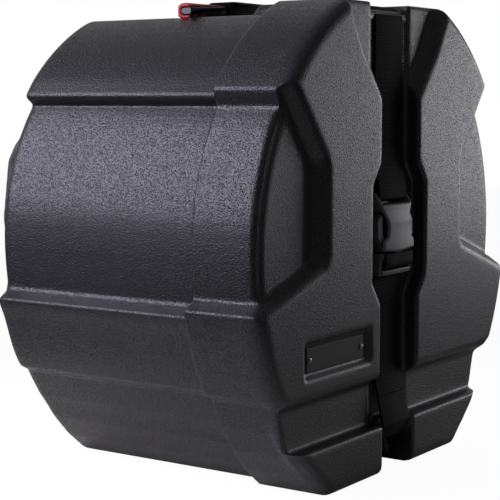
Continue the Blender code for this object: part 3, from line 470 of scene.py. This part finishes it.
@dataclass(frozen=True)
class ZincSteel:
    """Zinc-plated steel with a darkened, slightly brushed skin."""

    name: str = "zinc_steel"
    dull: Colour = (0.20, 0.20, 0.21)
    clean: Colour = (0.46, 0.46, 0.47)

    def material(self) -> bpy.types.Material:
        """Returns the material."""
        g = Graph(self.name)
        stain = g.noise(900.0, 3.0)
        g.set(base_color=g.ramp(stain, [(0.35, self.dull), (0.65, self.clean)]), metallic=1.0,
              roughness=0.28 + 0.18 * stain)
        g.relief(stain, 0.04 * MM, 0.5)
        return g.material


class Bench:
    """The modelling steps that the sub-assemblies share."""

    weld: float = 0.01 * MM
    flat: float = math.radians(0.5)
    edge_segments: int = 2
    soft_edge: float = math.radians(32.0)
    soft_weave: float = math.radians(40.0)
    weave_corner: float = math.radians(50.0)

    @staticmethod
    def pick(piece: bpy.types.Object) -> None:
        """Selects one object alone and makes it active.

        Args:
            piece: The object.
        """
        if bpy.context.mode != "OBJECT":
            bpy.ops.object.mode_set(mode="OBJECT")
        bpy.ops.object.select_all(action="DESELECT")
        piece.select_set(True)
        bpy.context.view_layer.objects.active = piece

    @classmethod
    def copy_of(cls, node: str, name: str) -> bpy.types.Object:
        """Copies a frame node's mesh into a new piece and welds its loose triangles.

        Args:
            node: The frame node.
            name: The new piece's name.

        Returns:
            The new piece.
        """
        source = frame["nodes"][node]
        piece = bpy.data.objects.new(name, source.data.copy())
        bpy.context.scene.collection.objects.link(piece)
        piece.data.materials.clear()
        cls.pick(piece)
        bpy.ops.object.mode_set(mode="EDIT")
        bpy.ops.mesh.select_all(action="SELECT")
        bpy.ops.mesh.remove_doubles(threshold=cls.weld)
        bpy.ops.mesh.dissolve_limited(angle_limit=cls.flat)
        bpy.ops.object.mode_set(mode="OBJECT")
        return piece

    @classmethod
    def modify(cls, piece: bpy.types.Object, kind: str, **settings: object) -> None:
        """Adds a modifier, sets it and applies it.

        Args:
            piece: The piece.
            kind: The modifier's type.
            settings: Its settings, by name.
        """
        cls.pick(piece)
        modifier = piece.modifiers.new(kind.lower(), kind)
        for key, setting in settings.items():
            setattr(modifier, key, setting)
        bpy.ops.object.modifier_apply(modifier=modifier.name)

    @classmethod
    def moulded(cls, node: str, name: str, grid: float, passes: int) -> bpy.types.Object:
        """Makes a copy of a node with the rounded edges of a moulding.

        Args:
            node: The frame node.
            name: The new piece's name.
            grid: The spacing of the new surface's points.
            passes: How often each point is moved towards its neighbours.

        Returns:
            The new piece.
        """
        piece = cls.copy_of(node, name)
        cls.modify(piece, "REMESH", mode="VOXEL", voxel_size=grid, use_smooth_shade=True)
        cls.modify(piece, "SMOOTH", factor=0.5, iterations=passes)
        return piece

    @staticmethod
    def reshape(piece: bpy.types.Object, move: Callable[[Vector], Vector]) -> None:
        """Moves each point of a piece.

        Args:
            piece: The piece.
            move: Gives a point's new place from its old one.
        """
        for vertex in piece.data.vertices:
            vertex.co = move(vertex.co)
        piece.data.update()

    @classmethod
    def thin(cls, piece: bpy.types.Object, triangles: int) -> None:
        """Thins out a mesh of quads where it is flat.

        Args:
            piece: The piece.
            triangles: The most triangles that it keeps.
        """
        share = triangles / (2.0 * len(piece.data.polygons))
        if share < 1.0:
            cls.modify(piece, "DECIMATE", ratio=share)

    @classmethod
    def edged(cls, node: str, name: str, width: float, angle: float = 40.0) -> bpy.types.Object:
        """Makes a copy of a node with its sharp edges bevelled.

        Args:
            node: The frame node.
            name: The new piece's name.
            width: The bevel's width.
            angle: Edges sharper than this many degrees are bevelled.

        Returns:
            The new piece.
        """
        piece = cls.copy_of(node, name)
        cls.modify(piece, "BEVEL", width=width, segments=cls.edge_segments, limit_method="ANGLE",
                   angle_limit=math.radians(angle), use_clamp_overlap=True,
                   harden_normals=False)
        cls.pick(piece)
        bpy.ops.object.shade_smooth_by_angle(angle=cls.soft_edge)
        return piece

    @classmethod
    def ribbon(cls, name: str, path: list[tuple[float, float]], width: float, thickness: float,
               edge: float) -> bpy.types.Object:
        """Makes a band of webbing that follows a path in the plane of symmetry.

        Args:
            name: The new piece's name.
            path: Points (y, z) of its middle layer.
            width: Its width along X.
            thickness: Its thickness.
            edge: How far its long edges are rounded.

        Returns:
            The new piece.
        """
        bpy.ops.object.select_all(action="DESELECT")
        bpy.ops.mesh.primitive_plane_add(size=1.0, enter_editmode=False)
        piece = bpy.context.active_object
        piece.name = name
        for vertex in piece.data.vertices:
            vertex.co = (math.copysign(width / 2, vertex.co.x), path[0][0], path[0][1])
        cls.pick(piece)
        bpy.ops.object.mode_set(mode="EDIT")
        bpy.ops.mesh.select_all(action="SELECT")
        bpy.ops.mesh.remove_doubles(threshold=edge / 100.0)
        for (y, z), (next_y, next_z) in zip(path, path[1:]):
            bpy.ops.mesh.extrude_edges_move(
                TRANSFORM_OT_translate={"value": (0.0, next_y - y, next_z - z)})
        bpy.ops.mesh.select_all(action="SELECT")
        bpy.ops.mesh.normals_make_consistent(inside=False)
        bpy.ops.object.mode_set(mode="OBJECT")
        cls.modify(piece, "SUBSURF", levels=2, render_levels=2, boundary_smooth="PRESERVE_CORNERS")
        cls.modify(piece, "SOLIDIFY", thickness=thickness, offset=0.0)
        cls.modify(piece, "BEVEL", width=edge, segments=cls.edge_segments, limit_method="ANGLE",
                   angle_limit=cls.weave_corner)
        cls.pick(piece)
        bpy.ops.object.shade_smooth_by_angle(angle=cls.soft_weave)
        return piece

    @staticmethod
    def dress(piece: bpy.types.Object, material: bpy.types.Material, slot: Slot, body: str,
              *nodes: str) -> None:
        """Gives a piece its finish, its body and the nodes that it stands for.

        Args:
            piece: The piece.
            material: Its material.
            slot: Not used.
            body: The frame body that it rides on.
            nodes: The frame nodes that it replaces.
        """
        piece.data.materials.clear()
        piece.data.materials.append(material)
        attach(piece, body)
        if nodes:
            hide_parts(*nodes)
        LOG.info("%s: %d faces on %s", piece.name, len(piece.data.polygons), body)


@dataclass(frozen=True)
class StudRoom:
    """The room that a headed stud needs in the shell over its whole travel."""

    middle: Vector
    foot: float
    ceiling: float
    head: float
    shank: float

    @classmethod
    def around(cls, node: str, joint: str, shank: float = 3.9 * MM, tall: float = 4.4 * MM,
               gap: float = 1.2 * MM) -> "StudRoom":
        """Reads a stud's room from the frame.

        Args:
            node: The stud.
            joint: The joint that lifts it.
            shank: The radius that its shank needs.
            tall: The height that its head needs.
            gap: The air round the head.

        Returns:
            The room.
        """
        low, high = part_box(node)
        return cls((low + high) / 2.0, low.z, low.z + tall + travel(joint),
                   (high.x - low.x) / 2.0 + gap, shank)

    def clear(self, point: Vector) -> Vector:
        """Moves a point of the shell out of the room.

        Args:
            point: The point.

        Returns:
            Its new place, or the old one if it lies outside the room.
        """
        away = Vector((point.x - self.middle.x, point.y - self.middle.y, 0.0))
        room = self.head if point.z < self.ceiling else self.shank
        if point.z < self.foot - 1.0 * MM or not 0.0 < away.length < room:
            return point
        if self.shank < away.length and self.ceiling - point.z < room - away.length:
            return Vector((point.x, point.y, self.ceiling))
        return point + away * (room / away.length - 1.0)


@dataclass
class Shells:
    """The lid and the rear half.

    The lower step and the skirt are given as a height, a reach above and below it, and how far
    their middle moves. The feet's drop and the rim's move are in millimetres, by the height and by
    the depth behind the recesses' floor.
    """

    lid_grid: float = 1.6 * MM
    rear_grid: float = 1.8 * MM
    passes: int = 9
    triangles: int = 180000
    axis: float = 0.211
    skin: float = 0.197
    skin_ease: float = 6.0 * MM
    seam: float = -0.0768
    deeper: float = 4.0 * MM
    deeper_out: tuple[float, float] = (0.045, 0.100)
    deeper_back: tuple[float, float] = (0.020, 0.120)
    lower_step: tuple[float, float, float] = (0.171, 0.032, 0.008)
    upper_crest: tuple[float, float] = (0.1704, 0.3445)
    crest_move: tuple[float, float] = (2.5 * MM, -4.5 * MM)
    crest_reach: float = 17.0 * MM
    skirt: tuple[float, float, float] = (0.093, 0.045, 0.0035)
    foot_drop: Line = ((0.014, 0.0), (0.048, -5.0), (0.060, -12.0), (0.080, 0.0))
    foot_front: tuple[float, float] = (0.122, 0.134)
    foot_side: tuple[float, float] = (0.0275, 0.0285)
    recess_floor: float = -0.1408
    rim_reach: tuple[float, float] = (0.195, 0.200)
    rim: Line = ((0.0005, 0.0), (0.0085, -4.5), (0.0300, 0.0))

    def rear_form(self, point: Vector) -> Vector:
        """Fills out the rear half's skin: its back edge, its skirt and its two steps.

        Args:
            point: A point of the shell.

        Returns:
            Its new place.
        """
        out = abs(point.x)
        y = point.y + self.deeper * rise(out, *self.deeper_out) * rise(point.y, *self.deeper_back)
        z = point.z
        if point.y > self.seam:
            outer = rise(math.hypot(out, z - self.axis), self.skin, self.skin + self.skin_ease)
            step_height, step_reach, drop = self.lower_step
            skirt_height, skirt_reach, swell = self.skirt
            crest = hump(math.hypot(out - self.upper_crest[0], z - self.upper_crest[1]),
                         self.crest_reach)
            out += outer * (swell * hump(z - skirt_height, skirt_reach)
                            + self.crest_move[0] * crest)
            z += outer * (self.crest_move[1] * crest - drop * hump(z - step_height, step_reach))
        return Vector((math.copysign(out, point.x), y, z))

    def lid_form(self, point: Vector) -> Vector:
        """Lowers the top of the lid's feet and tightens the rim beside its side recesses.

        Args:
            point: A point of the shell.

        Returns:
            Its new place.
        """
        front = rise(-point.y, *self.foot_front) * rise(abs(point.x), *self.foot_side)
        z = point.z + front * curve(self.foot_drop, point.z) * MM
        outer = rise(math.hypot(point.x, point.z - self.axis), *self.rim_reach)
        y = point.y + outer * curve(self.rim, point.y - self.recess_floor) * MM
        return Vector((point.x, y, z))

    def build(self, plastic: bpy.types.Material) -> None:
        """Makes both halves.

        Args:
            plastic: Their material.
        """
        lid = Bench.moulded("front_shell", "lid_shell", self.lid_grid, self.passes)
        Bench.reshape(lid, self.lid_form)
        Bench.thin(lid, self.triangles)
        Bench.dress(lid, plastic, Slot.SHELL, "lid", "front_shell")
        rear = Bench.moulded("rear_shell", "body_shell", self.rear_grid, self.passes)
        Bench.reshape(rear, self.rear_form)
        Bench.thin(rear, self.triangles)
        for side in ("left", "right"):
            Bench.reshape(rear, StudRoom.around(f"handle_stud_{side}", "handle_lift").clear)
        Bench.dress(rear, plastic, Slot.SHELL, "base", "rear_shell")


@dataclass
class Lining:
    """The foam pads and rings inside both halves."""

    grid: float = 3.0 * MM
    passes: int = 3
    fill: float = 0.9

    def build(self, foam: bpy.types.Material) -> None:
        """Makes the four pieces of lining.

        Args:
            foam: Their material.
        """
        for node, body in (("front_foam_pad", "lid"), ("front_foam_ring", "lid"),
                           ("rear_foam_pad", "base"), ("rear_foam_ring", "base")):
            piece = Bench.moulded(node, node.replace("foam", "lining"), self.grid, self.passes)
            Bench.dress(piece, foam, Slot.FOAM, body, node)


@dataclass
class LabelPlate:
    """The bare plate and its rivets."""

    edge: float = 0.35 * MM
    crease: float = 4.0

    def build(self, enamel: bpy.types.Material, steel: bpy.types.Material) -> None:
        """Makes the plate, with crisp edges, and the rivets.

        Args:
            enamel: The plate's material.
            steel: The rivets' material.
        """
        plate = Bench.edged("label_plate", "bare_plate", self.edge)
        bpy.ops.object.shade_smooth_by_angle(angle=math.radians(self.crease))
        Bench.dress(plate, enamel, Slot.PLATE, "lid", "label_plate")
        for side in ("left", "right"):
            rivet = Bench.edged(f"label_rivet_{side}", f"plate_rivet_{side}", self.edge, 25.0)
            Bench.dress(rivet, steel, Slot.STEEL, "lid", f"label_rivet_{side}")


@dataclass
class Buckle:
    """The side-release buckle.

    Its profile gives how many millimetres the front leans back at each height.
    """

    grid: float = 0.55 * MM
    passes: int = 4
    profile: Line = ((0.180, 0.2), (0.184, -0.2), (0.202, -1.7), (0.226, -0.7), (0.240, 1.2),
                     (0.256, 8.6))
    crown: float = 1.5 * MM
    rail: float = 0.0255
    rail_drop: float = 1.6 * MM

    def build(self, acetal: bpy.types.Material) -> None:
        """Makes the socket, the plug and both prongs.

        Args:
            acetal: Their material.
        """
        low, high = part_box("buckle_socket")

        def bowed(point: Vector) -> Vector:
            """Leans and crowns the buckle's front, and leaves its back flat.

            Args:
                point: A point of the buckle.

            Returns:
                Its new place.
            """
            front = min(max((high.y - point.y) / (high.y - low.y), 0.0), 1.0)
            lean = curve(self.profile, point.z) * MM + self.crown * (point.x / high.x) ** 2
            if point.z < low.z and abs(point.x) > self.rail:
                lean += self.rail_drop
            return Vector((point.x, point.y + front * lean, point.z))

        for node, name, body in (("buckle_socket", "socket", "lid"),
                                 ("buckle_plug", "plug_frame", "plug"),
                                 ("prong_left", "catch_left", "prong_left"),
                                 ("prong_right", "catch_right", "prong_right")):
            piece = Bench.moulded(node, name, self.grid, self.passes)
            Bench.reshape(piece, bowed)
            Bench.dress(piece, acetal, Slot.BUCKLE, body, node)


@dataclass
class Strap:
    """The webbing round the case.

    Its sink gives how many millimetres deeper the upper run lies at each height.
    """

    edge: float = 0.7 * MM
    lower_split: float = 0.070
    width: float = 50.0 * MM
    thickness: float = 1.9 * MM
    proud: float = 1.4 * MM
    sink: Line = ((0.262, 4.0), (0.275, 3.2), (0.310, 0.0))

    def sunk(self, point: Vector) -> Vector:
        """Returns the deeper place of a point of the upper run."""
        return point + Vector((0.0, curve(self.sink, point.z) * MM, 0.0))

    def build(self, nylon: bpy.types.Material) -> None:
        """Makes the runs of webbing and ties them to what moves them.

        Args:
            nylon: Their material.
        """
        for run, body in (("front_upper", "lid"), ("front_under", "lid"), ("rear", "base")):
            piece = Bench.edged(f"strap_{run}", f"webbing_{run}", self.edge)
            if run == "front_upper":
                Bench.reshape(piece, self.sunk)
            Bench.dress(piece, nylon, Slot.WEBBING, body, f"strap_{run}")
        lower = Bench.edged("strap_front_lower", "webbing_front_lower", self.edge)
        Bench.dress(lower, nylon, Slot.WEBBING, "lid", "strap_front_lower")
        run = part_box("strap_front_lower")[1].z - self.lower_split
        (run - travel("buckle_release")) / run
        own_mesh(lower)
        self.plug_loop(nylon)

    def plug_loop(self, nylon: bpy.types.Material) -> None:
        """Makes the turn of webbing that covers the plug's upper bar.

        Args:
            nylon: Its material.
        """
        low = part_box("buckle_plug")[0]
        front = low.y - self.proud
        foot = low.z
        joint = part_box("buckle_socket")[0].z
        path = [(low.y + 2.0 * MM, joint - 0.6 * MM), (low.y - 0.2 * MM, joint - 0.7 * MM),
                (front + 0.4 * MM, joint - 1.4 * MM), (front, joint - 3.6 * MM),
                (front - 0.1 * MM, foot + 12.0 * MM), (front + 0.5 * MM, foot + 8.6 * MM),
                (low.y + 1.4 * MM, foot + 6.8 * MM), (low.y + 4.2 * MM, foot + 5.9 * MM)]
        piece = Bench.ribbon("webbing_plug_loop", path, self.width, self.thickness, self.edge)
        Bench.dress(piece, nylon, Slot.WEBBING, "plug")


@dataclass
class Handle:
    """The grip, its rails, the wrap and the studs."""

    grip_grid: float = 0.9 * MM
    grip_passes: int = 4
    rail_grid: float = 0.55 * MM
    rail_passes: int = 14
    edge: float = 0.35 * MM
    stud_angle: float = 25.0
    held: float = 0.45

    def build(self, rubber: bpy.types.Material, gloss: bpy.types.Material,
              nylon: bpy.types.Material, steel: bpy.types.Material) -> None:
        """Makes the handle's pieces.

        Args:
            rubber: The grip's material.
            gloss: The rails' material.
            nylon: The material of the wrap and the top runs.
            steel: The studs' material.
        """
        grip = Bench.moulded("handle_grip", "grip", self.grip_grid, self.grip_passes)
        Bench.dress(grip, rubber, Slot.RUBBER, "handle", "handle_grip")
        for side in ("front", "rear"):
            rail = Bench.moulded(f"handle_rail_{side}", f"rail_{side}", self.rail_grid,
                                 self.rail_passes)
            Bench.dress(rail, gloss, Slot.RAIL, "handle", f"handle_rail_{side}")
        wrap = Bench.edged("handle_wrap", "grip_wrap", self.edge)
        Bench.dress(wrap, nylon, Slot.WEBBING, "handle", "handle_wrap")
        for side in ("left", "right"):
            stud = Bench.edged(f"handle_stud_{side}", f"stud_{side}", self.edge, self.stud_angle)
            Bench.dress(stud, steel, Slot.STEEL, "handle", f"handle_stud_{side}")
        for run in ("front", "back"):
            self.top_run(run, nylon)

    def top_run(self, run: str, nylon: bpy.types.Material) -> None:
        """Makes the strap's run between the case and the handle.

        Args:
            run: Which side of the handle it lies on.
            nylon: Its material.
        """
        node = f"strap_top_{run}"
        piece = Bench.edged(node, f"webbing_top_{run}", self.edge * 2)
        piece.data.materials.append(nylon)
        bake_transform(piece)
        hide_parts(node)
        LOG.info("%s: %d faces", piece.name, len(piece.data.polygons))


@dataclass
class BackClamp:
    """The plate that holds the strap on the back, with its screws."""

    edge: float = 0.5 * MM

    def build(self, acetal: bpy.types.Material, steel: bpy.types.Material) -> None:
        """Makes the clamp and its screws.

        Args:
            acetal: The clamp's material.
            steel: The screws' material.
        """
        clamp = Bench.edged("strap_clamp", "back_clamp", self.edge)
        Bench.dress(clamp, acetal, Slot.BUCKLE, "base", "strap_clamp")
        for side in ("left", "right"):
            screw = Bench.edged(f"clamp_screw_{side}", f"back_screw_{side}", self.edge / 2, 25.0)
            Bench.dress(screw, steel, Slot.STEEL, "base", f"clamp_screw_{side}")


@dataclass(frozen=True)
class Softbox:
    """A square area light that points at the case."""

    name: str
    place: tuple[float, float, float]
    side: float
    watts: float
    tint: tuple[float, float, float]
    aim: tuple[float, float, float] = (0.0, 0.0, 0.2)

    def hang(self) -> None:
        """Makes the light and turns it to the case."""
        light = bpy.data.lights.new(self.name, "AREA")
        light.shape = "SQUARE"
        light.size = self.side
        light.energy = self.watts
        light.color = self.tint
        lamp = bpy.data.objects.new(self.name, light)
        bpy.context.scene.collection.objects.link(lamp)
        lamp.location = self.place
        towards = Vector(self.aim) - Vector(self.place)
        lamp.rotation_euler = towards.to_track_quat("-Z", "Y").to_euler()


@dataclass
class Studio:
    """The floor, the lights and the camera."""

    lights: tuple[Softbox, ...] = (
        Softbox("left_wall", (-1.05, 0.83, 0.92), 1.1, 14.5, (0.82, 0.80, 1.0)),
        Softbox("right_front", (2.40, -0.90, 0.20), 1.0, 10.8, (0.96, 0.94, 1.0)))
    camera_place: tuple[float, float, float] = (-1.14962, -0.77243, 0.33578)
    yaw: float = 55.725
    pitch: float = 5.899
    lens: float = 104.33
    backdrop: tuple[float, float, float] = (0.82, 0.56, 0.10)
    surround: Line = ((0.45, 0.10), (0.92, 0.32))
    floor_side: float = 8.0
    floor_drop: float = 0.2 * MM
    # Painted pool of light on the floor: near-white within the first distance of the case, dark
    # grey past the second.
    painted_pool_colours: tuple[tuple[float, float, float], ...] = ((1.0, 0.98, 0.88),
                                                            (0.12, 0.12, 0.12))
    painted_pool_reach: tuple[float, float] = (0.30, 0.62)
    paper: float = 1.12
    paper_share: float = 0.86

    def build(self) -> None:
        """Sets the whole studio up."""
        self.floor()
        self.world()
        for softbox in self.lights:
            softbox.hang()
        self.camera()

    def floor(self) -> None:
        """Lays the pale floor, whose colour is a painted pool of light: near-white round the case,
        dark grey further out.
        """
        bpy.ops.mesh.primitive_plane_add(size=self.floor_side,
                                         location=(0.0, 0.0, -self.floor_drop))
        floor = bpy.context.active_object
        floor.name = "studio_floor"
        g = Graph("pale_floor")
        x, y, _ = g.axes(g.place())
        # The floor's colour is a painted pool of light that fades with distance from the case;
        # camera rays see mostly the even white glow.
        shades = list(zip(self.painted_pool_reach, self.painted_pool_colours))
        g.set(base_color=g.ramp((x * x + y * y).power(0.5), shades), roughness=0.9,
              specular_ior_level=0.1)
        paper = g.add("ShaderNodeEmission", {}, {"Strength": self.paper})
        seen = g.add("ShaderNodeLightPath", {}, {}, "Is Camera Ray")
        shader = Value(g, g.shader.outputs[0])
        mixed = g.add("ShaderNodeMixShader", {}, {0: seen * self.paper_share, 1: shader, 2: paper})
        g.tree.links.new(mixed.socket, g.tree.nodes["Material Output"].inputs["Surface"])
        floor.data.materials.append(g.material)

    def world(self) -> None:
        """Makes a white backdrop that lights the case only softly."""
        world = bpy.data.worlds.new("studio_world")
        bpy.context.scene.world = world
        world.use_nodes = True
        tree = world.node_tree
        shade = tree.nodes["Background"]
        place = tree.nodes.new("ShaderNodeTexCoord")
        facing = tree.nodes.new("ShaderNodeVectorMath")
        facing.operation = "DOT_PRODUCT"
        facing.inputs[1].default_value = self.backdrop
        ramp = tree.nodes.new("ShaderNodeValToRGB")
        ramp.color_ramp.interpolation = "EASE"
        for element, (position, level) in zip(ramp.color_ramp.elements, self.surround):
            element.position = position
            element.color = (level * 0.96, level * 0.97, level, 1.0)
        tree.links.new(place.outputs["Generated"], facing.inputs[0])
        tree.links.new(facing.outputs["Value"], ramp.inputs[0])
        tree.links.new(ramp.outputs[0], shade.inputs["Color"])
        white = tree.nodes.new("ShaderNodeBackground")
        white.inputs["Color"].default_value = (1.0, 1.0, 1.0, 1.0)
        white.inputs["Strength"].default_value = 1.0
        seen = tree.nodes.new("ShaderNodeLightPath")
        mix = tree.nodes.new("ShaderNodeMixShader")
        tree.links.new(seen.outputs["Is Camera Ray"], mix.inputs[0])
        tree.links.new(shade.outputs[0], mix.inputs[1])
        tree.links.new(white.outputs[0], mix.inputs[2])
        tree.links.new(mix.outputs[0], tree.nodes["World Output"].inputs["Surface"])
        bpy.context.scene.view_settings.view_transform = "Standard"

    def camera(self) -> None:
        """Puts the camera where the photograph was taken from."""
        data = bpy.data.cameras.new("camera")
        data.lens = self.lens
        data.sensor_width = 36.0
        data.clip_start = 0.01
        camera = bpy.data.objects.new("camera", data)
        bpy.context.scene.collection.objects.link(camera)
        camera.location = self.camera_place
        camera.rotation_euler = (math.radians(90.0 - self.pitch), 0.0, -math.radians(self.yaw))
        bpy.context.scene.camera = camera


def main() -> None:
    """Builds the studio and each sub-assembly in order."""
    logging.basicConfig(level=logging.INFO, format="%(message)s")
    Studio().build()
    plastic = PebbledPlastic().material()
    nylon = RibbedNylon().material()
    acetal = SatinAcetal().material()
    steel = ZincSteel().material()
    Shells().build(plastic)
    Lining().build(PorousFoam().material())
    LabelPlate().build(BareEnamel().material(), steel)
    Buckle().build(acetal)
    Strap().build(nylon)
    Handle().build(SoftRubber().material(), GlossBlack().material(), nylon, steel)
    BackClamp().build(acetal, steel)


if __name__ == "__main__":
    main()
